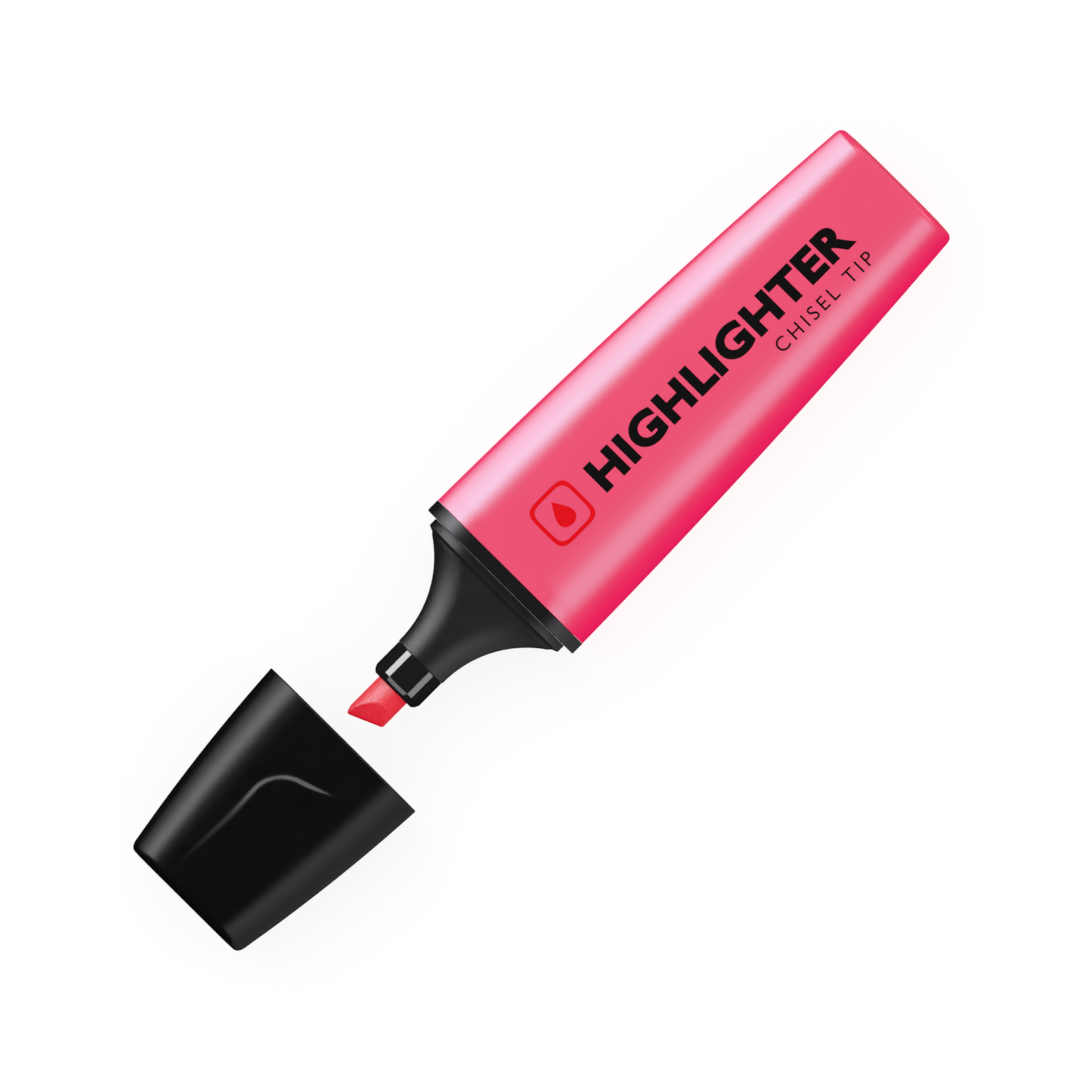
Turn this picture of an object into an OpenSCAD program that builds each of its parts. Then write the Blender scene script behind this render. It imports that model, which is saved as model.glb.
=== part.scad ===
// Chisel-tip highlighter with a wide, flat body and a pull-off cap.
//
// The pen lies on its wide face. +X runs along the pen towards the closed end of the barrel, +Y across
// its width and +Z up. The cap is off and stands in line with the nib. The origin is under the middle
// of that whole length, on the surface the pen lies on.
//
// Inside the modules, x = 0 is the front face of the collar, where the mouth of the cap comes to rest,
// and y = z = 0 is the axis of the nib. lay() moves that frame to the one above.

/* [Overall] */
// Width of the collar, the widest place of the pen
pen_width = 27.1; // [26.8:0.1:27.6]
// Thickness of the collar, the thickest place of the pen
pen_thickness = 17; // [16.8:0.1:17.6]
// Length of the collar ring that shows between the barrel and the cap
collar_length = 1.9; // [1.5:0.1:3]
// Length of the barrel that shows behind the collar
barrel_length = 73.1; // [70:0.1:76]
// Length of the cap
cap_length = 30.1; // [29.8:0.1:31]
// Distance from the collar to the mouth of the cap while it is off, and so the travel that closes it
cap_gap = 29.5; // [28:0.5:60]

/* [Barrel] */
// Width of the barrel at its closed end
barrel_end_width = 20.7; // [20.2:0.1:22]
// Thickness of the barrel at its closed end
barrel_end_thickness = 12.8; // [12.8:0.1:14]
// Wall of the barrel
barrel_wall = 1.5; // [1.2:0.1:1.6]

/* [Cap] */
// Width of the cap at its closed end
cap_end_width = 19.9; // [19.4:0.1:22]
// Thickness of the cap at its closed end
cap_end_thickness = 11.8; // [11.4:0.1:13]
// Wall of the cap
cap_wall = 1.45; // [1.3:0.05:1.5]
// How far the thumb pad stands out at its curved edge
pad_rise = 0.45; // [0.2:0.05:0.45]

/* [Grip] */
// Width of the flange that the cap closes over
flange_width = 23.96; // [23.9:0.01:23.96]
// Thickness of the flange
flange_thickness = 13.96; // [13.9:0.01:13.96]
// Diameter of the round neck at the front of the grip
neck_d = 8.12; // [8.1:0.01:8.3]
// Length of the grip in front of the collar
grip_length = 15; // [15:0.1:15.2]

/* [Nib] */
// Diameter of the polished nozzle
nozzle_d = 7.92; // [7.8:0.01:7.92]
// Length of the nozzle in front of the grip
nozzle_length = 5.15; // [5:0.05:5.3]
// Diameter of the nib
nib_d = 5.1; // [4.8:0.1:5.1]
// How far the nib stands out of the nozzle, to its foremost corner
nib_reach = 6.2; // [5.8:0.1:6.3]
// Thickness of the writing edge
nib_edge = 1.8; // [1.2:0.1:2.2]
// Angle of the writing edge across the nib
nib_slant = 23; // [15:1:30]
// Angle between each bevel of the nib and its axis
nib_bevel = 32; // [28:1:40]

/* [Reservoir] */
// Width of the fibre reservoir
core_width = 16.4; // [14:0.1:16.4]
// Thickness of the fibre reservoir
core_thickness = 9; // [8:0.1:9]
// Thickness of the film wrapped round the reservoir
film = 0.25; // [0.1:0.05:0.25]

/* [Hidden] */

barrel_colour = "#EB5173";
black_gloss = "#1C1B1F";
black_matte = "#2C2C2C";
black_polish = "#161616";
nib_colour = "#E8324B";
fibre_colour = "#E4577A";
film_colour = "#E9E6EA";

// Facets in each quarter of a lofted outline, and in a full circle
steps = 8;
$fn = 64;

slip = 0.05;            // clearance between pieces that are pushed together
fit = 0.04;             // clearance where the cap closes over the nozzle
step_back = 0.04;       // how far the barrel stands below the collar

// Rest of the outline sizes
collar_r = 7.7;         // corner radius of the collar
barrel_mouth_r = 7.6;
barrel_end_r = 5;
cap_mouth_r = 7.6;
cap_end_r = 5.5;
barrel_curve = 0.8;     // share of the taper in width that follows a parabola; the thickness tapers straight
cap_curve = 0.53;
edge_r = 0.7;           // rounding between the sides and the closed ends
barrel_crown = 1;       // how far the middle of a closed end stands out past its edges
cap_crown = 0.85;

// Places along the pen
barrel_end = collar_length + barrel_length;
cap_mouth = -cap_gap;
cap_end = cap_mouth - cap_length;
mid_length = (barrel_end + cap_end) / 2;
nozzle_front = -grip_length - nozzle_length;
nib_front = nozzle_front - nib_reach;
core_start = 10;
core_end = 71;
nib_back = core_start + 4;
barrel_floor = barrel_end - barrel_crown - 1.4;
cap_end_wall = 2;
cap_floor = cap_end + cap_end_wall;

// Collar plug and the parts that go through it
skirt_end = 9;
skirt_wall = 1.3;
skirt_a = pen_width / 2 - barrel_wall - 0.25;
skirt_b = pen_thickness / 2 - barrel_wall - 0.35;
skirt_r = 6;
bead_x = 5;
bead_length = 0.8;
bead_rise = 0.25;
web = 2.6;              // thickness of the plug's front web
spigot_a = 9.4;
spigot_b = 5.1;
spigot_r = 4.8;
spigot_end = 8;
stem_r = 3.3;

// Flare of the grip
flare_end = -1.75;
flange_front = -1.2;
flange_r = 6.5;
flare_b = 6.2;          // half thickness of the flare where it meets the flange

// Thumb pad: distance from the cap's mouth to where its edge starts to bend, distance of the straight
// edge from the axis, radius of the bend and the angle it turns through
pad_bend = 13.25;
pad_edge = 4.4;
pad_bend_r = 5.4;
pad_turn = 72;

// Inner cap
seal_r = nozzle_d / 2 + fit;
seal_mouth = cap_mouth - grip_length - 0.35;
seal_step = cap_mouth + nozzle_front - 0.9;
seal_end = cap_floor + 0.6;
tip_r = 3.1;
seal_wall = 0.9;
peg_r = 1.5;
peg_length = 1;

function mix(p, q, t) = p + (q - p) * t;

// Part of a taper reached at the share u of its length
function taper(u, curve) = (1 - curve) * u + curve * u * u;

// Outline of a rounded rectangle, half sizes a and b, in the plane at x, domed by crown towards its middle
function ring(x, a, b, r, crown = 0, depth = 1) = [
    for (q = [0:3], i = [0:steps])
        let (t = 90 * (q + i / steps))
        let (y = (q == 0 || q == 3 ? 1 : -1) * (a - r) + r * cos(t))
        let (z = (q < 2 ? 1 : -1) * (b - r) + r * sin(t))
        [x - crown * z * z / (depth * depth), y, z]
];

// Closed solid through a list of outlines, with a pole at each end. On its outside they run towards +x.
module loft(rings, first, last) {
    n = len(rings[0]);
    m = len(rings);
    points = [for (outline = rings) each outline];
    sides = [
        for (j = [0:m - 2], i = [0:n - 1])
            let (a = j * n + i, b = j * n + (i + 1) % n)
            each [[a, b + n, b], [a, a + n, b + n]]
    ];
    fans = [
        for (i = [0:n - 1])
            let (k = (i + 1) % n, end = (m - 1) * n)
            each [[m * n, i, k], [m * n + 1, end + k, end + i]]
    ];
    polyhedron(concat(points, [first, last]), concat(sides, fans), convexity = 6);
}

module rounded_rectangle(a, b, r) {
    square([2 * a, 2 * (b - r)], center = true);
    square([2 * (a - r), 2 * b], center = true);
    for (sx = [-1, 1], sy = [-1, 1])
        translate([sx * (a - r), sy * (b - r)])
            circle(r);
}

// Bar along x with a rounded rectangle as its section
module bar(x0, x1, a, b, r) {
    translate([x0, 0, 0])
        rotate([90, 0, 90])
            linear_extrude(x1 - x0)
                rounded_rectangle(a, b, r);
}

// Cylinder or cone along x
module rod(x0, x1, r0, r1) {
    translate([x0, 0, 0])
        rotate([0, 90, 0])
            cylinder(h = x1 - x0, r1 = r0, r2 = r1);
}

// Moves the pen from its own axes to where it lies
module lay() {
    translate([-mid_length, 0, pen_thickness / 2])
        children();
}

// Half width, half thickness and corner radius of the barrel at x, taken in by wall. The wide faces are
// straight along the pen, so it lies steadily on one of them.
function barrel_at(x, wall) =
    let (u = (x - collar_length) / barrel_length, t = taper(u, barrel_curve))
    [
        mix(pen_width / 2 - step_back, barrel_end_width / 2, t) - wall,
        mix(pen_thickness / 2 - step_back, barrel_end_thickness / 2, u) - wall,
        mix(barrel_mouth_r, barrel_end_r, t) - wall
    ];

function barrel_ring(x, wall, crown = 0) =
    let (s = barrel_at(x, wall))
    ring(x, s[0], s[1], s[2], crown, s[1]);

// The same for the cap, at the distance d from its mouth
function cap_at(d, wall) =
    let (t = taper(d / cap_length, cap_curve))
    [
        mix(pen_width / 2 - step_back, cap_end_width / 2, t) - wall,
        mix(pen_thickness / 2 - step_back, cap_end_thickness / 2, t) - wall,
        mix(cap_mouth_r, cap_end_r, t) - wall
    ];

function cap_ring(d, wall, crown = 0) =
    let (s = cap_at(d, wall))
    ring(cap_mouth - d, s[0], s[1], s[2], -crown, s[1]);

// Lengthwise rib on the barrel's inner wall that carries the reservoir, and the stop behind it.
// side is 0 for a rib on a narrow wall and 1 for one on a wide wall.
module reservoir_rib(side, inner) {
    from = 12;
    to = barrel_floor + 0.3;
    wall_side = [
        for (i = [0:6])
            let (x = mix(from, to, i / 6))
            [x, barrel_at(x, barrel_wall)[side] + 0.4]
    ];
    stop = [[to, inner - 2], [core_end + slip, inner - 2], [core_end + slip, inner]];
    linear_extrude(1.2, center = true)
        polygon(concat(wall_side, stop, [[from, inner]]));
}

module barrel() {
    tail = [for (t = [0:30:90]) [barrel_end - barrel_crown - edge_r * (1 - sin(t)), edge_r * (1 - cos(t))]];
    outer = [for (i = [0:8]) barrel_ring(mix(collar_length, tail[0][0] - 0.6, i / 8), 0)];
    rounding = [for (p = tail) barrel_ring(p[0] + barrel_crown, p[1], barrel_crown)];
    inner = [for (i = [0:8]) barrel_ring(mix(barrel_floor, collar_length, i / 8), barrel_wall)];
    color(barrel_colour) lay() {
        difference() {
            loft(concat(inner, outer, rounding), [barrel_floor, 0, 0], [barrel_end, 0, 0]);
            bar(bead_x - slip, bead_x + bead_length + slip,
                skirt_a + bead_rise + slip, skirt_b + bead_rise + slip, skirt_r + bead_rise);
        }
        for (half = [0, 180], y = [-5, 5])
            rotate([half, 0, 0])
                translate([0, y, 0])
                    rotate([90, 0, 0])
                        reservoir_rib(1, core_thickness / 2 + film + slip);
        for (half = [0, 180])
            rotate([half, 0, 0])
                reservoir_rib(0, core_width / 2 + film + slip);
    }
}

module collar_plug() {
    color(black_gloss) lay()
        difference() {
            union() {
                bar(0, collar_length, pen_width / 2, pen_thickness / 2, collar_r);
                bar(0.5, skirt_end, skirt_a, skirt_b, skirt_r);
                bar(bead_x, bead_x + bead_length, skirt_a + bead_rise, skirt_b + bead_rise, skirt_r + bead_rise);
            }
            bar(-1, web + 1, spigot_a + slip, spigot_b + slip, spigot_r);
            bar(web, skirt_end + 1, skirt_a - skirt_wall, skirt_b - skirt_wall, skirt_r - skirt_wall);
        }
}

// Half width of the flare at x: an arc that leaves the neck straight ahead and ends on the flange
function arc_rise(x, x0, x1, rise) =
    let (run = x1 - x0, r = (run * run + rise * rise) / (2 * rise), d = x - x0)
    r - sqrt(r * r - d * d);

function flare_ring(x) =
    let (neck = neck_d / 2, from = -grip_length + 0.25)
    let (a = neck + arc_rise(max(x, from), from, flange_front, flange_width / 2 - neck))
    let (b = neck + arc_rise(max(x, from), from, flare_end, flare_b - neck))
    ring(x, a, b, 0.98 * b);

module grip_section() {
    places = [for (i = [0:9]) mix(-grip_length, flare_end, i / 9)];
    fillet = ring(flange_front, flange_width / 2 - 0.15, flange_thickness / 2 - 0.15, flange_r - 0.15);
    inside = ring(-0.4, flange_width / 2 - 1, flange_thickness / 2 - 1, flange_r - 1);
    color(black_matte) lay()
        difference() {
            union() {
                loft(concat([for (x = places) flare_ring(x)], [fillet, inside]), [-grip_length, 0, 0], [-0.4, 0, 0]);
                bar(flange_front, -slip, flange_width / 2, flange_thickness / 2, flange_r);
                bar(-0.8, spigot_end, spigot_a, spigot_b, spigot_r - slip);
                bar(web + slip, web + 0.8, spigot_a + bead_rise, spigot_b + bead_rise, spigot_r);
            }
            rod(-grip_length - 1, spigot_end + 1, stem_r + 0.02, stem_r + 0.02);
        }
}

module nib_holder() {
    front_r = nozzle_d / 2 - 0.66;
    chamfer_end = nozzle_front + 0.95;
    color(black_polish) lay()
        difference() {
            union() {
                rod(nozzle_front, chamfer_end, front_r, nozzle_d / 2);
                rod(chamfer_end, -grip_length, nozzle_d / 2, nozzle_d / 2);
                rod(-grip_length - 1, core_start - slip, stem_r, stem_r);
            }
            rod(nozzle_front - 1, core_start + 1, nib_d / 2 + 0.02, nib_d / 2 + 0.02);
        }
}

// Plan of the nib's point: its slanted writing edge, worked out from the foremost corner
module nib_wedge() {
    half = nib_edge / 2;
    back = (nib_d - half) / tan(nib_bevel);
    far = nib_back - nib_front + nib_d;
    rotate([90, 0, 0])
        linear_extrude(4 * nib_d, center = true)
            polygon([
                [0, -half], [back, -nib_d], [far, -nib_d],
                [far, nib_d], [back, nib_d], [0, half]
            ]);
}

module nib() {
    corner_y = 2;
    color(nib_colour) lay()
        intersection() {
            rod(nib_front - 1, nib_back, nib_d / 2, nib_d / 2);
            translate([nib_front, corner_y, 0])
                rotate([0, 0, nib_slant])
                    nib_wedge();
        }
}

module reservoir_core() {
    color(fibre_colour) lay()
        difference() {
            bar(core_start, core_end, core_width / 2, core_thickness / 2, core_thickness / 2 - 0.2);
            rod(core_start - 1, nib_back + slip, nib_d / 2 + 0.02, nib_d / 2 + 0.02);
        }
}

module reservoir_film() {
    a = core_width / 2;
    b = core_thickness / 2;
    color(film_colour) lay()
        difference() {
            bar(core_start, core_end, a + film, b + film, b - 0.2 + film);
            bar(core_start - 1, core_end + 1, a, b, b - 0.2);
        }
}

// Plan of the thumb pad. Its edge runs straight along the cap, turns through an arc and crosses the wide
// face; the other sides lie past the places where the pad has sunk into the face.
module pad_plan() {
    bend = [cap_mouth - pad_bend, pad_edge - pad_bend_r];
    arc = [for (t = [0:8:pad_turn]) bend + pad_bend_r * [sin(t), cos(t)]];
    past = arc[len(arc) - 1] + 10 * [cos(pad_turn), -sin(pad_turn)];
    polygon(concat([[cap_end, past[1]], [cap_end, pad_edge + 0.15]], arc, [past]));
}

// Raised pad for the thumb: a copy of the cap's outside, lifted and tilted so that it stands out of the
// wide face along the curved edge and sinks into it everywhere else
module thumb_pad() {
    high = [cap_mouth - 8.6, 1.8, cap_at(8.6, 0)[1]];
    tilt = [3.5, -1.2, 0];
    intersection() {
        linear_extrude(pen_thickness / 2 + pad_rise)
            pad_plan();
        translate(high + [0, 0, pad_rise])
            rotate(tilt)
                translate(-high)
                    loft([for (d = [cap_length - 1, 23, 16, 9, 2]) cap_ring(d, 0)],
                        [cap_end + 1, 0, 0], [cap_mouth - 2, 0, 0]);
    }
}

module cap_shell() {
    mouth_depth = 1.9;
    play = 0.07;
    tail = [for (t = [90:-30:0]) [edge_r * (1 - sin(t)), edge_r * (1 - cos(t))]];
    rounding = [for (p = tail) cap_ring(cap_length - p[0], p[1], cap_crown)];
    sides = [for (i = [8:-1:0]) cap_ring((cap_length - cap_crown - edge_r - 0.6) * i / 8, 0)];
    cavity = [for (i = [0:6]) cap_ring(mix(cap_length - cap_end_wall, mouth_depth - 0.5, i / 6), cap_wall)];
    color(black_gloss) lay()
        difference() {
            union() {
                loft(concat(rounding, sides), [cap_end, 0, 0], [cap_mouth, 0, 0]);
                for (half = [0, 180])
                    rotate([half, 0, 0])
                        thumb_pad();
            }
            loft(cavity, [cap_floor, 0, 0], [cap_mouth - mouth_depth + 0.5, 0, 0]);
            bar(cap_mouth - mouth_depth, cap_mouth + 1,
                flange_width / 2 + play, flange_thickness / 2 + play, flange_r + play);
            rod(cap_floor - peg_length - slip, cap_floor + 1, peg_r + slip, peg_r + slip);
        }
}

module inner_cap() {
    color(black_matte) lay() {
        difference() {
            union() {
                rod(seal_step - 1, seal_mouth, seal_r + seal_wall, seal_r + seal_wall);
                rod(cap_floor, seal_step, tip_r + seal_wall, tip_r + seal_wall);
                rod(cap_floor - peg_length, cap_floor + 1, peg_r, peg_r);
            }
            rod(seal_step, seal_mouth + 1, seal_r, seal_r);
            rod(seal_end, seal_step + 1, tip_r, tip_r);
        }
    }
}

barrel();
collar_plug();
grip_section();
nib_holder();
nib();
reservoir_core();
reservoir_film();
cap_shell();
inner_cap();
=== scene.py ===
"""Looks of the highlighter pen: a pink barrel with a black collar, grip, nozzle and cap, and a felt nib.

Lengths below are in millimetres along the pen: x is 0 at the collar's front face and grows towards
the barrel's closed end, y is across the wide face and z is through the thickness. place() turns
them into the frame's metres.
"""

import math

import bmesh
import bpy
import numpy as np
from mathutils import Matrix, Vector


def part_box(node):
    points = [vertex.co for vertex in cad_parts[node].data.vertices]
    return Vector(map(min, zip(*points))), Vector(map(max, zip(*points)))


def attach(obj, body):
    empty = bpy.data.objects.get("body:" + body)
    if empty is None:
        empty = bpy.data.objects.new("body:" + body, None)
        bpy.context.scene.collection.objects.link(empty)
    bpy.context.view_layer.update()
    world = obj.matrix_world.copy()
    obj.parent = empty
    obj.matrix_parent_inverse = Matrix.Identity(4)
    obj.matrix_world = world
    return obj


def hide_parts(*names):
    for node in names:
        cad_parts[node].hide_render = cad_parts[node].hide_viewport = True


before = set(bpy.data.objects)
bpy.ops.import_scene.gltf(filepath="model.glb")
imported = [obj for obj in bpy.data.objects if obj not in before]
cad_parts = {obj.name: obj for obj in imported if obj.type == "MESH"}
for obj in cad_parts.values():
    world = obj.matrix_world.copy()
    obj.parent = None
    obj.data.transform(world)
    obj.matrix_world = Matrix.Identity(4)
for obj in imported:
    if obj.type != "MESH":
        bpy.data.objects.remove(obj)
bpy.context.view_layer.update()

MM = 0.001
# ---------------------------------------------------------------- places taken from the CAD frame
BARREL_LOW, BARREL_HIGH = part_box("barrel")
CAP_LOW, CAP_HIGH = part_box("cap_shell")
ORIGIN_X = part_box("collar_plug")[0].x / MM
AXIS_Z = (BARREL_LOW.z + BARREL_HIGH.z) / 2 / MM


def along(x_metres):
    """A place along the pen, from the frame's metres to millimetres behind the collar's front face."""
    return x_metres / MM - ORIGIN_X


REAR_X = along(BARREL_HIGH.x)
MOUTH_X = along(CAP_HIGH.x)
CAP_END_X = along(CAP_LOW.x)
NOZZLE_X = along(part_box("nib_holder")[0].x)
NIB_TIP_X = along(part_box("nib")[0].x)

# ---------------------------------------------------------------- sizes of the real pen, in mm
# A section is (half width, half thickness, corner radius).
# A curve of 0 is a straight taper and a curve of 1 is a parabola.
COLLAR_LENGTH = 1.9
COLLAR_LIP = 0.03
SKIRT_END = 9.0
SKIRT_WALL = 1.2
BODY = (13.51, 8.46, 7.6)
BARREL_END = (10.35, 6.4, 5.0)
BARREL_CURVE = 0.8
BARREL_WALL = 1.5
BARREL_FLOOR = 1.8
BARREL_ROUND = 1.1
BARREL_DISH = 0.24
CAP_END = (9.95, 5.9, 5.5)
CAP_CURVE = 0.53
CAP_WALL = 1.36
CAP_FLOOR = 2.0
CAP_ROUND = 1.3
CAP_DISH = 0.1
FLANGE = (11.98, 6.98, 6.8)
NECK_R = 4.06
NECK_BORE_R = 3.32
NECK_LEVEL_X = -14.75
NOZZLE_R = 3.96
NOZZLE_BORE_R = 3.28
NOZZLE_BACK_X = -15.02
NIB_R = 2.55
NIB_SLANT = math.radians(23.4)
NIB_BEVEL = math.radians(32)
SEAM = 0.01
# The fall of the barrel's wide faces: it starts at a distance from the middle, steepens over the run,
# and levels out again over the fade.
CROWN_START, CROWN_RUN, CROWN_FADE, CROWN_SLOPE = 2.2, 3.8, 3.5, 0.115
# Shares of an end section at which an end face has a ring of points.
END_RINGS = (0.03, 0.15, 0.3, 0.45, 0.6, 0.72, 0.82, 0.9, 0.95)


def clamp01(t):
    return np.clip(t, 0.0, 1.0)


def smooth(t):
    t = clamp01(t)
    return t * t * (3 - 2 * t)


def taper(u, curve):
    return (1 - curve) * u + curve * u * u


def between(start, end, t):
    return tuple(s + (e - s) * t for s, e in zip(start, end))


def barrel_at(x):
    """Half width, half thickness and corner radius of the barrel. The wide faces are straight."""
    u = (x - COLLAR_LENGTH) / (REAR_X - COLLAR_LENGTH)
    a, _, r = between(BODY, BARREL_END, taper(u, BARREL_CURVE))
    return a, BODY[1] + (BARREL_END[1] - BODY[1]) * u, r


def cap_at(x):
    """The same for the cap, which tapers the other way from its mouth."""
    u = (MOUTH_X - x) / (MOUTH_X - CAP_END_X)
    return between(BODY, CAP_END, taper(u, CAP_CURVE))


def barrel_crown(x, y):
    """How far the barrel's wide faces fall away towards their edges: nothing at the collar."""
    out = np.abs(y)
    rise = np.clip(out - CROWN_START, 0, CROWN_RUN)
    late = np.clip(out - CROWN_START - CROWN_RUN, 0, CROWN_FADE)
    drop = CROWN_SLOPE * (rise * rise / (2 * CROWN_RUN) + late - late * late / (2 * CROWN_FADE))
    return drop * smooth((x - COLLAR_LENGTH - 0.2) / 3.0)


def inset(size, wall):
    return size[0] - wall, size[1] - wall, max(size[2] - wall, 0.6)


# ---------------------------------------------------------------- mesh making
class Ring:
    """A unit rounded rectangle: which corner each point belongs to, and its direction there."""

    def __init__(self, corner, wide, narrow):
        rows = []
        signs = ((1, 1), (-1, 1), (-1, -1), (1, -1))
        for k in range(4):
            cy, cz = signs[k]
            ny, nz = signs[(k + 1) % 4]
            for i in range(corner + 1):
                angle = math.pi / 2 * (k + i / corner)
                rows.append((cy, cz, math.cos(angle), math.sin(angle)))
            steps = wide if k % 2 == 0 else narrow
            angle = math.pi / 2 * (k + 1)
            for i in range(1, steps):
                t = i / steps
                rows.append((cy + (ny - cy) * t, cz + (nz - cz) * t, math.cos(angle), math.sin(angle)))
        self.cy, self.cz, self.cos, self.sin = np.array(rows).T

    def points(self, a, b, r):
        return self.cy * (a - r) + r * self.cos, self.cz * (b - r) + r * self.sin


def rounded_path(corners, steps=6, loop=False):
    """Stations (x, a, b, r) through corners (x, a, b, r, cut): a cut above 0 rounds that corner."""
    rows = []
    count = len(corners)
    for i, corner in enumerate(corners):
        here = np.array(corner[:4], float)
        cut = corner[4] if len(corner) > 4 else 0
        if not cut or (not loop and i in (0, count - 1)):
            rows.append(here)
            continue
        legs = []
        for other in (corners[i - 1], corners[(i + 1) % count]):
            leg = np.array(other[:4], float) - here
            length = math.hypot(leg[0], max(abs(leg[1]), abs(leg[2])))
            legs.append((leg, length))
        ends = [here + leg * min(cut / length, 0.48) for leg, length in legs]
        guards = [here + leg * min((cut + 0.1) / length, 0.49) for leg, length in legs]
        rows.append(guards[0])
        for t in np.linspace(0, 1, steps + 1):
            rows.append((1 - t) ** 2 * ends[0] + 2 * t * (1 - t) * here + t * t * ends[1])
        rows.append(guards[1])
    return rows


def place(points):
    """Pen millimetres to frame metres."""
    out = np.array(points, float)
    out[:, 0] += ORIGIN_X
    out[:, 2] += AXIS_Z
    return out * MM


def make_object(name, points, faces, material, body, replaced=None, merge=0.0):
    mesh = bpy.data.meshes.new(name)
    mesh.from_pydata(place(points).tolist(), [], faces)
    bm = bmesh.new()
    bm.from_mesh(mesh)
    if merge:
        bmesh.ops.remove_doubles(bm, verts=bm.verts, dist=merge * MM)
    bmesh.ops.recalc_face_normals(bm, faces=bm.faces)
    bm.to_mesh(mesh)
    bm.free()
    mesh.polygons.foreach_set("use_smooth", [True] * len(mesh.polygons))
    mesh.materials.append(material)
    piece = bpy.data.objects.new(name, mesh)
    bpy.context.scene.collection.objects.link(piece)
    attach(piece, body)
    if replaced:
        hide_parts(replaced)
    return piece


def skin_faces(rings, count, loop, poles):
    """Quads between rings of count points; loop joins the last ring to the first, poles close the ends."""
    faces = []
    for j in range(rings if loop else rings - 1):
        low, high = j * count, ((j + 1) % rings) * count
        for i in range(count):
            k = (i + 1) % count
            faces.append((low + i, low + k, high + k, high + i))
    if poles:
        first, last = rings * count, rings * count + 1
        top = (rings - 1) * count
        for i in range(count):
            k = (i + 1) % count
            faces.append((first, k, i))
            faces.append((last, top + i, top + k))
    return faces


def skin(path, ring, loop=False, shape=None):
    """Points and faces of a skin over the stations of path."""
    points = []
    for x, a, b, r in path:
        y, z = ring.points(a, b, r)
        points.append(np.stack([np.full_like(y, x), y, z], axis=1))
    points = np.concatenate(points)
    if shape is not None:
        points = shape(points)
    count = len(ring.cy)
    if not loop:
        ends = points[:count].mean(axis=0), points[-count:].mean(axis=0)
        points = np.concatenate([points, np.array(ends)])
    return points, skin_faces(len(path), count, loop, not loop)


def revolve(profile, segments=96, loop=True):
    """A round part from (x, r) corners, closed in a loop."""
    angles = np.arange(segments) * 2 * math.pi / segments
    points = []
    for x, r in profile:
        points.append(np.stack([np.full(segments, x), r * np.cos(angles), r * np.sin(angles)], axis=1))
    return np.concatenate(points), skin_faces(len(profile), segments, loop, False)


# ---------------------------------------------------------------- material helpers
def new_material(name, **sockets):
    material = bpy.data.materials.new(name)
    material.use_nodes = True
    shader = material.node_tree.nodes["Principled BSDF"]
    for key, value in sockets.items():
        socket = shader.inputs[key.replace("_", " ")]
        if hasattr(socket.default_value, "__len__") and len(socket.default_value) == 4 and len(value) == 3:
            value = (*value, 1.0)
        socket.default_value = value
    return material, material.node_tree, shader


def add_node(tree, kind, **values):
    node = tree.nodes.new(kind)
    for key, value in values.items():
        if key in node.inputs:
            node.inputs[key].default_value = value
        else:
            setattr(node, key, value)
    return node


def object_noise(tree, scale, detail=3.0, roughness=0.5, stretch=(1.0, 1.0, 1.0)):
    """Noise fixed to the piece; scale is in features per metre."""
    where = add_node(tree, "ShaderNodeTexCoord")
    mapping = add_node(tree, "ShaderNodeMapping")
    mapping.inputs["Scale"].default_value = stretch
    noise = add_node(tree, "ShaderNodeTexNoise", Scale=scale, Detail=detail, Roughness=roughness)
    tree.links.new(where.outputs["Object"], mapping.inputs["Vector"])
    tree.links.new(mapping.outputs["Vector"], noise.inputs["Vector"])
    return noise


def ramp_value(tree, source, low, high, out_low, out_high):
    """Maps a factor from low..high to out_low..out_high."""
    node = add_node(tree, "ShaderNodeMapRange")
    for key, value in (("From Min", low), ("From Max", high), ("To Min", out_low), ("To Max", out_high)):
        node.inputs[key].default_value = value
    tree.links.new(source, node.inputs["Value"])
    return node.outputs["Result"]


def ramp_colour(tree, source, stops):
    node = add_node(tree, "ShaderNodeValToRGB")
    elements = node.color_ramp.elements
    while len(elements) < len(stops):
        elements.new(0.5)
    for element, (position, colour) in zip(elements, stops):
        element.position = position
        element.color = (*colour, 1.0)
    tree.links.new(source, node.inputs["Fac"])
    return node.outputs["Color"]


def mix_colour(tree, factor, first, second):
    """Fades from a colour output to a second one, which may be a plain colour."""
    mix = add_node(tree, "ShaderNodeMix", data_type="RGBA")
    tree.links.new(factor, mix.inputs["Factor"])
    tree.links.new(first, mix.inputs[6])
    if isinstance(second, tuple):
        mix.inputs[7].default_value = (*second, 1.0)
    else:
        tree.links.new(second, mix.inputs[7])
    return mix.outputs[2]


def add_bump(tree, shader, heights, distance):
    """Bump from one or more (height output, strength) layers."""
    normal = None
    for height, strength in heights:
        bump = add_node(tree, "ShaderNodeBump", Strength=strength, Distance=distance)
        tree.links.new(height, bump.inputs["Height"])
        if normal is not None:
            tree.links.new(normal, bump.inputs["Normal"])
        normal = bump.outputs["Normal"]
    tree.links.new(normal, shader.inputs["Normal"])


def shade(colour, factor):
    return tuple(c * factor for c in colour)


# ---------------------------------------------------------------- materials
# Pink of the rounded edges, paler pink of the satin middle as painted sheen, deeper darker pink of the
# sides as painted shade, and painted glow.
BARREL_PINK = (0.46, 0.042, 0.104)
BARREL_SATIN_PAINTED_SHEEN = (0.405, 0.087, 0.146)
BARREL_PAINTED_SIDE_SHADE = (0.46, 0.002, 0.056)
BARREL_PAINTED_GLOW = (0.49, 0.003, 0.043)
BARREL_SIDE_PAINTED_GLOW = (0.53, 0.0, 0.060)


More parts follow.
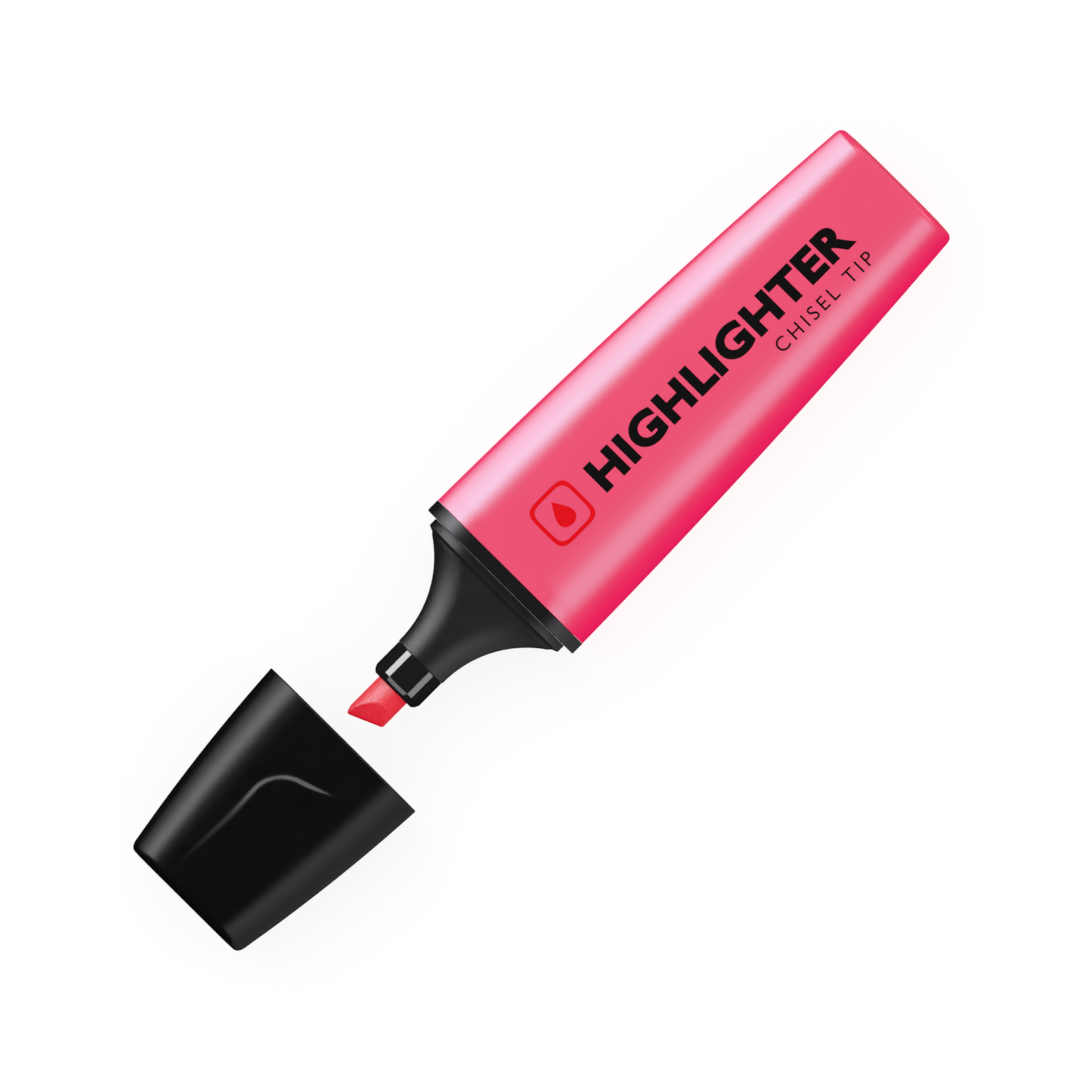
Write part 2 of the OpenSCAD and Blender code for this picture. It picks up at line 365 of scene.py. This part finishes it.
def barrel_material():
    """Fluorescent pink polypropylene: satin on the wide faces and glossier towards the sides; a paler pink
    on the satin band is painted sheen, a deeper darker pink on the sides is painted shade, and the emission
    is a painted glow.
    """
    material, tree, shader = new_material(
        "pink_polypropylene_painted_light", IOR=1.6, Emission_Strength=1.0
    )
    facing = add_node(tree, "ShaderNodeTexCoord")
    parts = add_node(tree, "ShaderNodeSeparateXYZ")
    tree.links.new(facing.outputs["Normal"], parts.inputs["Vector"])
    sideways = parts.outputs["Y"]
    # Painted sheen: a band of the wide face, reaching further towards +y, gets less gloss and a paler pink
    # that stands in for its reflection.
    turn = ramp_value(tree, sideways, -1.0, 1.0, 0.0, 1.0)
    satin_and_sheen_bands = [(0.45, (0,) * 3), (0.49, (1,) * 3), (0.60, (1,) * 3), (0.67, (0,) * 3)]
    satin_and_painted_sheen = ramp_colour(tree, turn, satin_and_sheen_bands)
    tree.links.new(ramp_value(tree, satin_and_painted_sheen, 0.0, 1.0, 0.95, 0.12), shader.inputs["Specular IOR Level"])
    # Painted shade: the pink turns deeper and darker, and glows more, as the surface faces sideways, on
    # both narrow sides.
    side = add_node(tree, "ShaderNodeMath", operation="ABSOLUTE")
    tree.links.new(sideways, side.inputs[0])
    depth = ramp_value(tree, side.outputs["Value"], 0.44, 0.84, 0.0, 1.0)
    mottle = object_noise(tree, 90.0, 2.0).outputs["Fac"]
    edges, middle = (
        ramp_colour(tree, mottle, [(0.3, shade(pink, 0.985)), (0.7, shade(pink, 1.015))])
        for pink in (BARREL_PINK, BARREL_SATIN_PAINTED_SHEEN)
    )
    glossy = mix_colour(tree, depth, edges, BARREL_PAINTED_SIDE_SHADE)
    tree.links.new(mix_colour(tree, satin_and_painted_sheen, glossy, middle), shader.inputs["Base Color"])
    # Painted glow: the emission keeps the pink bright where it is shaded, more on the sides.
    painted_glow = ramp_colour(tree, depth, [(0.0, BARREL_PAINTED_GLOW), (1.0, BARREL_SIDE_PAINTED_GLOW)])
    tree.links.new(painted_glow, shader.inputs["Emission Color"])
    gloss = object_noise(tree, 260.0, 4.0, 0.6, (0.35, 1.0, 1.0))
    spread = ramp_value(tree, gloss.outputs["Fac"], 0.3, 0.7, 0.28, 0.32)
    tree.links.new(spread, shader.inputs["Roughness"])
    grain = object_noise(tree, 5200.0, 2.0)
    waves = object_noise(tree, 130.0, 1.0, 0.4, (0.4, 1.0, 1.0))
    add_bump(tree, shader, [(grain.outputs["Fac"], 0.05), (waves.outputs["Fac"], 0.12)], 0.0002)
    return material


def black_material(name, colour, rough, ior, level, grain_scale, grain_strength, wave_strength=0.1):
    """Moulded black plastic with a given gloss, a fine grain and slight unevenness."""
    material, tree, shader = new_material(name, IOR=ior, Specular_IOR_Level=level)
    mottle = object_noise(tree, 140.0, 3.0)
    stops = [(0.3, shade(colour, 0.92)), (0.7, shade(colour, 1.08))]
    tree.links.new(ramp_colour(tree, mottle.outputs["Fac"], stops), shader.inputs["Base Color"])
    gloss = object_noise(tree, 300.0, 4.0, 0.6)
    spread = ramp_value(tree, gloss.outputs["Fac"], 0.3, 0.7, *rough)
    tree.links.new(spread, shader.inputs["Roughness"])
    grain = object_noise(tree, grain_scale, 2.0)
    waves = object_noise(tree, 120.0, 1.0, 0.4)
    layers = [(grain.outputs["Fac"], grain_strength), (waves.outputs["Fac"], wave_strength)]
    add_bump(tree, shader, layers, 0.0002)
    return material


def nib_material():
    """Bonded fibre soaked with pink ink: tiny light and dark fibre ends, a rough surface and a painted glow
    from its emission.
    """
    material, tree, shader = new_material(
        "soaked_fibre_painted_glow",
        Roughness=0.45,
        Specular_IOR_Level=0.8,
        # Painted glow: the emission keeps the nib bright red where it is shaded.
        Emission_Color=(0.44, 0.0, 0.008),
        Emission_Strength=1.0,
    )
    speckle = object_noise(tree, 9000.0, 3.0, 0.7)
    stops = [
        (0.30, (0.50, 0.001, 0.014)),
        (0.52, (0.56, 0.006, 0.024)),
        (0.60, (0.62, 0.040, 0.070)),
        (0.70, (0.80, 0.300, 0.340)),
    ]
    tree.links.new(ramp_colour(tree, speckle.outputs["Fac"], stops), shader.inputs["Base Color"])
    fibres = object_noise(tree, 6500.0, 3.0, 0.65, (0.3, 1.0, 1.0))
    add_bump(tree, shader, [(fibres.outputs["Fac"], 0.5), (speckle.outputs["Fac"], 0.35)], 0.00012)
    return material


def core_material():
    """The ink-soaked fibre bundle inside the barrel, with lengthwise fibres."""
    material, tree, shader = new_material("ink_fibre", Roughness=0.8)
    strands = object_noise(tree, 2600.0, 3.0, 0.6, (0.05, 1.0, 1.0))
    stops = [(0.3, (0.55, 0.04, 0.11)), (0.7, (0.85, 0.16, 0.28))]
    tree.links.new(ramp_colour(tree, strands.outputs["Fac"], stops), shader.inputs["Base Color"])
    add_bump(tree, shader, [(strands.outputs["Fac"], 0.6)], 0.0002)
    return material


def film_material():
    """The thin clear film round the fibre bundle, slightly creased."""
    material, tree, shader = new_material("clear_film", Alpha=0.35, Base_Color=(0.8, 0.78, 0.8))
    creases = object_noise(tree, 300.0, 4.0, 0.6, (0.2, 1.0, 1.0))
    add_bump(tree, shader, [(creases.outputs["Fac"], 0.4)], 0.0003)
    spread = ramp_value(tree, creases.outputs["Fac"], 0.3, 0.7, 0.12, 0.3)
    tree.links.new(spread, shader.inputs["Roughness"])
    return material


def print_material(name, colour, gloss):
    """Printed ink: a thin layer with slight density changes."""
    material, tree, shader = new_material(name, IOR=1.45, Specular_IOR_Level=0.1)
    density = object_noise(tree, 1500.0, 4.0, 0.65)
    stops = [(0.35, shade(colour, 0.95)), (0.65, shade(colour, 1.05))]
    tree.links.new(ramp_colour(tree, density.outputs["Fac"], stops), shader.inputs["Base Color"])
    spread = ramp_value(tree, density.outputs["Fac"], 0.3, 0.7, gloss - 0.05, gloss + 0.05)
    tree.links.new(spread, shader.inputs["Roughness"])
    return material


# ---------------------------------------------------------------- pieces
def end_crown(points, at, length, depth, direction):
    """Pulls an end face back towards its wide edges by depth, fading over length along the pen."""
    x, z = points[:, 0], points[:, 2]
    half = BARREL_END[1] if direction > 0 else CAP_END[1]
    near = smooth(1 - (at - x) * direction / length)
    points[:, 0] -= direction * depth * np.minimum((z / half) ** 2, 1.2) * near
    return points


def end_ring(x, size, share):
    """A station of an end face: a share of its section."""
    return x, size[0] * share, size[1] * share, size[2] * share


def build_barrel(material):
    ring = Ring(28, 36, 6)
    back = inset(BARREL_END, BARREL_WALL)
    floor_x = REAR_X - BARREL_FLOOR
    front = COLLAR_LENGTH + SEAM
    inner = [end_ring(floor_x, back, share) for share in END_RINGS]
    inner.append((floor_x, *back, 0.3))
    for x in np.linspace(floor_x - 1.0, front + 1.0, 30):
        inner.append((x, *inset(barrel_at(x), BARREL_WALL)))
    outer = [(front, *inset(barrel_at(front), BARREL_WALL), 0.1), (front, *barrel_at(front), 0.05)]
    for x in np.linspace(front + 0.8, REAR_X - 3.6, 110):
        outer.append((x, *barrel_at(x)))
    rear = barrel_at(REAR_X - 0.4)
    outer.append((REAR_X - BARREL_DISH, *rear, BARREL_ROUND))
    for share in reversed(END_RINGS[:-3]):
        outer.append(end_ring(REAR_X - 0.22 * share**4, rear, share))
    path = rounded_path(inner + outer, 7)

    def shape(points):
        z = points[:, 2]
        share = clamp01(np.abs(z) / 4.0)
        points[:, 2] -= np.sign(z) * share * barrel_crown(points[:, 0], points[:, 1])
        return end_crown(points, REAR_X, 14.0, 0.25, 1)

    points, faces = skin(path, ring, shape=shape)
    return make_object("barrel_shell", points, faces, material, "pen", "barrel")


def build_collar(material):
    ring = Ring(24, 24, 6)
    size = (BODY[0] + COLLAR_LIP, BODY[1] + COLLAR_LIP, BODY[2])
    rear_x = COLLAR_LENGTH - 0.02
    skirt_out = inset(barrel_at(6.0), BARREL_WALL + 0.12)
    skirt_in = inset(skirt_out, SKIRT_WALL)
    corners = [
        (0.0, *size, 0.22),
        (rear_x, *size, 0.06),
        (rear_x, *skirt_out),
        (SKIRT_END, *skirt_out, 0.3),
        (SKIRT_END, *skirt_in, 0.2),
        (0.0, *skirt_in, 0.1),
        (0.0, FLANGE[0] + 0.3, FLANGE[1] + 0.3, FLANGE[2] + 0.2),
    ]
    points, faces = skin(rounded_path(corners, 6, loop=True), ring, loop=True)
    return make_object("collar", points, faces, material, "pen", "collar_plug")


def arc_rise(x, start, end, rise):
    """Height of a concave arc that leaves start level and has risen by rise at end."""
    run = end - start
    radius = (run * run + rise * rise) / (2 * rise)
    return radius - math.sqrt(max(radius * radius - (x - start) ** 2, 0.0))


def grip_at(x):
    a = NECK_R + arc_rise(x, NECK_LEVEL_X, -1.2, FLANGE[0] - NECK_R)
    b = NECK_R + arc_rise(x, NECK_LEVEL_X, -1.75, 6.2 - NECK_R)
    return a, b, 0.98 * min(a, b)


def build_grip(material):
    ring = Ring(20, 10, 4)
    neck = (NECK_R, NECK_R, 0.98 * NECK_R)
    bore = (NECK_BORE_R, NECK_BORE_R, NECK_BORE_R - 0.05)
    corners = [(-15.0, *bore), (-15.0, *neck, 0.1), (NECK_LEVEL_X, *neck)]
    for x in np.linspace(-14.3, -2.2, 42):
        corners.append((x, *grip_at(x)))
    foot = grip_at(-1.9)
    face_x = -0.04
    corners += [
        (-1.9, *foot),
        (-1.55, foot[0] + 0.28, foot[1] + 0.2, foot[2] + 0.2, 0.15),
        (-1.22, *FLANGE, 0.2),
        (face_x, *FLANGE, 0.08),
        (face_x, 8.0, 5.6, 5.4),
        (face_x, *bore),
    ]
    path = rounded_path(corners, 5, loop=True)
    points, faces = skin(path, ring, loop=True)
    return make_object("grip", points, faces, material, "pen", "grip_section")


def round_path(corners, steps=5):
    rows = rounded_path([(x, r, r, r, cut) for x, r, cut in corners], steps, loop=True)
    return [(row[0], row[1]) for row in rows]


def build_nozzle(material):
    corners = [
        (NOZZLE_BACK_X, NOZZLE_R, 0.12),
        (NOZZLE_X + 0.95, NOZZLE_R, 0.06),
        (NOZZLE_X + 0.36, NOZZLE_R - 0.27, 0.08),
        (NOZZLE_X, NOZZLE_R - 0.66, 0.06),
        (NOZZLE_X, NIB_R + 0.1, 0.08),
        (-6.0, NIB_R + 0.06, 0.05),
        (-6.0, NOZZLE_BORE_R, 0.05),
        (NOZZLE_BACK_X, NOZZLE_BORE_R, 0.05),
    ]
    points, faces = revolve(round_path(corners))
    return make_object("nozzle", points, faces, material, "pen", "nib_holder")


def nib_edge_x(y):
    """Where the slanted tip edge is, across the nib."""
    straight = NIB_TIP_X + (2.0 - y) * math.tan(NIB_SLANT)
    corner = np.interp(y, [2.0, 2.1, 2.2, 2.3, 2.4, 2.5, 2.56], [0, 0.08, 0.21, 0.43, 0.77, 1.15, 1.43])
    low = np.interp(-y, [2.3, 2.45, 2.56], [0, 0.06, 0.2])
    return straight + corner + low


def build_nib(material):
    around, rows = 128, 70
    angles = np.arange(around) * 2 * math.pi / around
    y = NIB_R * np.cos(angles)
    z = NIB_R * np.sin(angles)
    tip = nib_edge_x(y)
    slope = math.tan(NIB_BEVEL) * math.cos(NIB_SLANT)
    root = -14.0
    points = []
    for t in np.linspace(0, 1, rows) ** 0.8:
        x = root + (tip - root) * t
        room = 0.86 + slope * (x - tip)
        over = np.abs(z) - room
        lift = 0.5 * (over + np.sqrt(over * over + 0.006))
        depth = np.abs(z) - lift
        rounded = smooth((x - tip) / 0.16) * 0.25 + 0.75
        points.append(np.stack([x, y, np.sign(z) * np.maximum(depth, 0) * rounded], axis=1))
    last = points[-1]
    for s in (0.8, 0.55, 0.25, 0.0):
        face = last.copy()
        face[:, 0] -= 0.09 * (1 - s * s)
        face[:, 2] *= s
        points.append(face)
    count = len(points)
    points = np.concatenate(points)
    points[:, 0] = np.maximum(points[:, 0], NIB_TIP_X)
    faces = skin_faces(count, around, False, False)
    faces.append(tuple(range(around)))
    return make_object("felt_nib", points, faces, material, "pen", "nib", merge=0.004)


# ---------------------------------------------------------------- the cap and its thumb rest
# The step runs along one straight arm, round a bend of radius PAD_R about PAD_BEND, and along another.
PAD_BEND = (-42.3, -1.3)
PAD_R = 5.6
PAD_TURN = math.radians(72)
PAD_WALL = 1.0
PAD_RISE = 0.42


def pad_height(x, y):
    """The thumb rest on the cap: a curved step that fades out along both arms and inwards."""
    dx, dy = x - PAD_BEND[0], y - PAD_BEND[1]
    far = math.pi / 2 - PAD_TURN
    straight = PAD_R - dy
    round_part = PAD_R - np.hypot(dx, dy)
    arm = PAD_R - (dx * math.cos(far) + dy * math.sin(far))
    angle = np.arctan2(dy, dx)
    inside = np.where(dx < 0, straight, np.where(angle < far, arm, round_part))
    ends = smooth((y + 6.5) / 6.0) * smooth((x + 62.0) / 20.0)
    wall_width = PAD_WALL * (0.3 + 0.7 * ends) * (1 + 0.55 * smooth((-41.0 - x) / 7.0))
    wall = smooth(inside / wall_width)
    fall = 1 - smooth((inside - wall_width) / 7.5)
    return PAD_RISE * ends * wall * (0.12 + 0.88 * fall)


def build_cap(material):
    ring = Ring(22, 64, 6)
    rear = cap_at(CAP_END_X + 0.3)
    outer = [end_ring(CAP_END_X + CAP_DISH * share**8, rear, share) for share in END_RINGS[:-2]]
    outer.append((CAP_END_X + CAP_DISH, *rear, CAP_ROUND))
    for x in np.linspace(CAP_END_X + 2.8, MOUTH_X - 0.6, 114):
        outer.append((x, *cap_at(x)))
    outer_count = len(rounded_path(outer, 7)) * len(ring.cy)
    mouth = cap_at(MOUTH_X)
    floor_x = CAP_END_X + CAP_FLOOR
    inner = [(MOUTH_X, *mouth, 0.1), (MOUTH_X, *inset(mouth, CAP_WALL), 0.12)]
    for x in np.linspace(MOUTH_X - 0.8, floor_x + 0.8, 26):
        inner.append((x, *inset(cap_at(x), CAP_WALL)))
    back = inset(cap_at(floor_x), CAP_WALL)
    inner.append((floor_x, *back, 0.3))
    for share in reversed(END_RINGS):
        inner.append(end_ring(floor_x, back, share))
    path = rounded_path(outer + inner, 7)

    def shape(points):
        x, y, z = points[:outer_count].T
        u = clamp01((MOUTH_X - x) / (MOUTH_X - CAP_END_X))
        width, half, _ = between(BODY, CAP_END, taper(u, CAP_CURVE))
        on_side = smooth((half - np.abs(z)) / (half * 0.55))
        side = np.sign(z)
        lift = pad_height(x, y * side) * (1 - on_side) * (np.abs(y) < width)
        points[:outer_count, 2] += side * lift
        return end_crown(points, CAP_END_X, 12.0, 0.75, -1)

    points, faces = skin(path, ring, shape=shape)
    return make_object("cap_shell_skin", points, faces, material, "cap", "cap_shell")


# ---------------------------------------------------------------- print on the barrel
PRINT_LIFT = 0.012
PRINT_THICK = 0.012
MARK_CENTRE = (12.3, 0.55)
MARK_HALF = 3.55
MARK_LINE = 0.55
# Where the words lie: x0, x1, y0, y1.
WORDS_BOX = (18.4, 65.4, -1.8, 2.9)
SMALL_BOX = (47.9, 65.4, -5.3, -3.35)


def on_barrel(points):
    """Lays flat (x, y, height) print on the barrel's upper face."""
    out = np.array(points, float)
    for row in out:
        row[2] += barrel_at(row[0])[1] - float(barrel_crown(row[0], row[1])) + PRINT_LIFT
    return out


def text_points(words, weight, spacing):
    """Mesh of a word in the built-in font: points with the height as z, and faces."""
    curve = bpy.data.curves.new("words", "FONT")
    curve.body = words
    curve.size = 1.0
    curve.offset = weight
    curve.space_character = spacing
    curve.extrude = 0.01
    curve.resolution_u = 8
    holder = bpy.data.objects.new("words", curve)
    bpy.context.scene.collection.objects.link(holder)
    bpy.context.view_layer.update()
    mesh = holder.to_mesh()
    points = np.array([v.co for v in mesh.vertices], float)
    faces = [tuple(p.vertices) for p in mesh.polygons]
    holder.to_mesh_clear()
    bpy.data.objects.remove(holder)
    bpy.data.curves.remove(curve)
    return points, faces


def build_words(name, words, box, weight, spacing, material):
    """A printed word that fills its box on the barrel."""
    points, faces = text_points(words, weight, spacing)
    low, high = points.min(axis=0), points.max(axis=0)
    x0, x1, y0, y1 = box
    points[:, 0] = x0 + (points[:, 0] - low[0]) / (high[0] - low[0]) * (x1 - x0)
    points[:, 1] = y0 + (points[:, 1] - low[1]) / (high[1] - low[1]) * (y1 - y0)
    points[:, 2] = np.where(points[:, 2] > 0, PRINT_THICK, 0.0)
    piece = make_object(name, on_barrel(points), faces, material, "pen", merge=0.0005)
    piece.data.polygons.foreach_set("use_smooth", [False] * len(piece.data.polygons))
    return piece


def outline_points(outline):
    """A flat printed shape from its outline, closed below and at the edge."""
    count = len(outline)
    low = [(x, y, 0.0) for x, y in outline]
    high = [(x, y, PRINT_THICK) for x, y in outline]
    faces = [tuple(range(count, 2 * count)), tuple(reversed(range(count)))]
    for i in range(count):
        k = (i + 1) % count
        faces.append((i, k, count + k, count + i))
    return low + high, faces


def rounded_square(cx, cy, half, power=5.0, count=96):
    outline = []
    for i in range(count):
        t = 2 * math.pi * i / count
        c, s = math.cos(t), math.sin(t)
        grow = half / (abs(c) ** power + abs(s) ** power) ** (1 / power)
        outline.append((cx + grow * c, cy + grow * s))
    return outline


def band_points(outer, inner):
    """A printed band between two outlines of the same count, closed all round."""
    count = len(outer)
    points = []
    for outline, height in ((outer, 0.0), (inner, 0.0), (inner, PRINT_THICK), (outer, PRINT_THICK)):
        points += [(x, y, height) for x, y in outline]
    return points, skin_faces(4, count, True, False)


def build_drop(material):
    """A plain ink drop in a rounded frame."""
    cx, cy = MARK_CENTRE
    drop = []
    count = 72
    for i in range(count):
        t = 2 * math.pi * i / count
        bulge = math.sin(t / 2) ** 1.5
        drop.append((cx - 1.95 * math.sin(t) * bulge, cy + 0.1 + 2.05 * math.cos(t)))
    shapes = [outline_points(drop)]
    frame_out = rounded_square(cx, cy, MARK_HALF)
    shapes.append(band_points(frame_out, rounded_square(cx, cy, MARK_HALF - MARK_LINE)))
    points, faces = [], []
    for more, more_faces in shapes:
        start = len(points)
        points += more
        faces += [tuple(start + i for i in face) for face in more_faces]
    piece = make_object("print_drop", on_barrel(points), faces, material, "pen")
    piece.data.polygons.foreach_set("use_smooth", [False] * len(piece.data.polygons))
    return piece


# ---------------------------------------------------------------- studio
WHITE = (1, 1, 1)
KEY_COLOUR = (0.98, 0.985, 1.04)
PINK_KEY_COLOUR = (0.12, 0.95, 1.06)
NIB_KEY_COLOUR = (0.25, 0.95, 1.0)
WORLD_LEVEL = 0.72


def area_light(name, where, across, back, size, radiance, lit=None, colour=KEY_COLOUR, diffuse=False):
    """A softbox of a given radiance: a Lambert panel sends out pi times its area times its radiance.

    It shows in gloss alone, or shades without showing when diffuse is set.
    """
    light = bpy.data.lights.new(name, "AREA")
    light.shape = "RECTANGLE"
    light.size, light.size_y = size
    light.energy = radiance * math.pi * size[0] * size[1]
    light.color = colour
    lamp = bpy.data.objects.new(name, light)
    bpy.context.scene.collection.objects.link(lamp)
    lamp.location = where
    lamp.rotation_euler = Matrix((across, back.cross(across), back)).transposed().to_euler()
    lamp.visible_camera = False
    lamp.visible_diffuse = diffuse
    lamp.visible_glossy = not diffuse
    if lit is not None:
        lamp.light_linking.receiver_collection = lit
    return lamp


def strip_light(name, angle, span, radiance, centre, lit, colour, length=0.6, distance=0.7):
    """A long panel beside the pen, seen at angle degrees from straight up, towards +y when positive."""
    turn = math.radians(angle)
    back = Vector((0, math.sin(turn), math.cos(turn)))
    width = 2 * distance * math.tan(math.radians(span / 2))
    across = Vector((1, 0, 0))
    where = Vector(centre) + back * distance
    return area_light(name, where, across, back, (length, width), radiance, lit, colour)


def end_light(name, sign, angle, span, radiance, centre, lit, distance=0.9, length=1.6):
    """The same past one end of the pen, towards +x when sign is 1."""
    turn = math.radians(angle)
    back = Vector((sign * math.sin(turn), 0, math.cos(turn)))
    width = 2 * distance * math.tan(math.radians(span / 2))
    across = Vector((0, 1, 0))
    return area_light(name, Vector(centre) + back * distance, across, back, (length, width), radiance, lit)


# Rows of panels as (angle from straight up, radiance). Each panel spans STRIP_SPAN degrees.
STRIP_SPAN = 9.0
BARREL_KEY = (
    (38, 0.4), (47, 3.4), (56, 7.2), (65, 6.8), (74, 6.0), (83, 5.4), (92, 5.0), (101, 4.4), (110, 3.4),
    (119, 2.2), (128, 1.0)
)
BARREL_FILL = (
    (14, 0.8), (23, 1.9), (32, 2.5), (41, 2.8), (50, 2.3), (59, 1.2), (68, 0.1)
)
BLACK_KEY = (
    (20, 0.1), (29, 0.2), (38, 0.4), (47, 1.7), (56, 3.7), (65, 4.5), (74, 3.2), (83, 2.2), (92, 1.2),
    (101, 0.7), (110, 0.3)
)
BLACK_FILL = (
    (38, 0.25), (47, 0.8), (56, 1.0), (65, 0.9), (74, 0.75), (83, 0.6), (92, 0.45), (101, 0.35), (110, 0.3),
    (119, 0.25), (128, 0.2), (137, 0.15), (146, 0.12), (155, 0.1)
)


def gather(name, pieces):
    """A set of pieces that some panels light alone."""
    group = bpy.data.collections.new(name)
    for piece in pieces:
        group.objects.link(piece)
    return group


def build_studio(centre, pink_pieces, black_pieces, nozzle, nib, cap):
    pinks, blacks = gather("lit_pink", pink_pieces), gather("lit_black", black_pieces)
    shine, tip = gather("lit_nozzle", (nozzle,)), gather("lit_nib", (nib,))
    hood = gather("lit_cap", (cap,))
    plans = (
        ("pink_key", 1, BARREL_KEY, pinks, PINK_KEY_COLOUR, 0.7),
        ("pink_fill", -1, BARREL_FILL, pinks, PINK_KEY_COLOUR, 0.7),
        ("black_key", 1, BLACK_KEY, blacks, KEY_COLOUR, 1.4),
        ("black_fill", -1, BLACK_FILL, blacks, KEY_COLOUR, 1.4),
    )
    for name, side, plan, lit, colour, length in plans:
        for angle, radiance in plan:
            strip_light(f"{name}_{angle}", side * angle, STRIP_SPAN, radiance, centre, lit, colour, length)
    end_light("end_low", -1, 50, 24, 2.6, centre, shine)
    end_light("end_high", 1, 60, 30, 1.3, centre, pinks)
    end_light("cap_high", 1, 52, 44, 3.2, centre, hood)
    strip_light("nozzle_key", 60, 26, 11.0, centre, shine, WHITE)
    strip_light("nib_key", 48, 50, 9.0, centre, tip, NIB_KEY_COLOUR)
    strip_light("nozzle_fill", -65, 26, 3.6, centre, shine, WHITE)
    back = Vector((0.0, 0.6, 0.8))
    size = 1.8
    where = Vector(centre) + back * size
    area_light("soft_key", where, Vector((1, 0, 0)), back, (size, size), 0.9, None, WHITE, True)

    world = bpy.data.worlds.new("studio")
    world.use_nodes = True
    tree = world.node_tree
    background = tree.nodes["Background"]
    background.inputs["Color"].default_value = (1, 1, 1, 1)
    where = add_node(tree, "ShaderNodeTexCoord")
    parts = add_node(tree, "ShaderNodeSeparateXYZ")
    tree.links.new(where.outputs["Generated"], parts.inputs["Vector"])
    level = ramp_value(tree, parts.outputs["Z"], -0.01, 0.0, 0.0, WORLD_LEVEL)
    tree.links.new(level, background.inputs["Strength"])
    bpy.context.scene.world = world
    world.cycles_visibility.glossy = False


def floor_material():
    material, tree, shader = new_material(
        "pale_floor",
        Roughness=0.9,
        Specular_IOR_Level=0.0,
        Emission_Color=(0.86, 0.86, 0.86),
        Emission_Strength=1.0,
    )
    speckle = object_noise(tree, 3.0, 2.0)
    stops = [(0.3, (0.178, 0.178, 0.178)), (0.7, (0.182, 0.182, 0.182))]
    tree.links.new(ramp_colour(tree, speckle.outputs["Fac"], stops), shader.inputs["Base Color"])
    return material


def build_floor():
    half = 8.0
    mesh = bpy.data.meshes.new("floor")
    corners = [(-half, -half, 0.0), (half, -half, 0.0), (half, half, 0.0), (-half, half, 0.0)]
    mesh.from_pydata(corners, [], [(0, 1, 2, 3)])
    mesh.materials.append(floor_material())
    floor = bpy.data.objects.new("floor", mesh)
    bpy.context.scene.collection.objects.link(floor)
    floor.visible_glossy = False
    floor.visible_shadow = False
    return floor


VIEW_TURN = 45.2
FRAME_WIDTH = 0.14336
FRAME_SHIFT = 0.00017


def build_camera():
    """Straight down, with the pen running from lower left to upper right, through a very long lens."""
    data = bpy.data.cameras.new("camera")
    data.sensor_width = 36.0
    data.lens = 1000.0
    camera = bpy.data.objects.new("camera", data)
    bpy.context.scene.collection.objects.link(camera)
    distance = FRAME_WIDTH * data.lens / data.sensor_width
    camera.location = (0.0, FRAME_SHIFT, AXIS_Z * MM + distance)
    camera.rotation_euler = (0.0, 0.0, -math.radians(VIEW_TURN))
    data.clip_start, data.clip_end = 0.1, 12.0
    bpy.context.scene.camera = camera
    return camera


def use_cad_node(name, material):
    """A CAD part whose shape is right keeps its mesh and gets a better material."""
    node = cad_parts[name]
    node.data.materials.clear()
    node.data.materials.append(material)
    return node


def main():
    gloss_black = black_material(
        "gloss_black", (0.010, 0.010, 0.011), (0.22, 0.28), 1.5, 0.7, 6000.0, 0.15
    )
    grained_black = black_material(
        "grained_black", (0.015, 0.015, 0.015), (0.22, 0.27), 1.5, 0.75, 6500.0, 0.4
    )
    polished_black = black_material(
        "polished_black", (0.014, 0.014, 0.014), (0.05, 0.07), 1.5, 0.7, 4000.0, 0.01, 0.02
    )
    cap_black = black_material(
        "cap_black", (0.0038, 0.0038, 0.004), (0.21, 0.26), 1.45, 0.5, 6500.0, 0.08, 0.04
    )
    seal_black = black_material(
        "seal_black", (0.012, 0.012, 0.012), (0.45, 0.55), 1.45, 0.5, 3000.0, 0.2
    )
    barrel = build_barrel(barrel_material())
    collar = build_collar(gloss_black)
    grip = build_grip(grained_black)
    nozzle = build_nozzle(polished_black)
    nib = build_nib(nib_material())
    cap = build_cap(cap_black)
    seal = use_cad_node("inner_cap", seal_black)
    core = use_cad_node("reservoir_core", core_material())
    film = use_cad_node("reservoir_film", film_material())

    black_ink = print_material("black_ink", (0.0055, 0.0052, 0.0052), 0.4)
    red_ink = print_material("red_ink", (0.86, 0.001, 0.007), 0.4)
    words = build_words("print_words", "HIGHLIGHTER", WORDS_BOX, 0.05, 1.12, black_ink)
    small = build_words("print_small", "CHISEL TIP", SMALL_BOX, 0.0, 1.35, black_ink)
    mark = build_drop(red_ink)

    build_floor()
    centre = (0.0, 0.0, AXIS_Z * MM)
    blacks = (collar, grip, cap, seal, core, film, words, small, mark)
    build_studio(centre, (barrel,), blacks, nozzle, nib, cap)
    build_camera()
    bpy.context.scene.view_settings.view_transform = "Standard"


main()
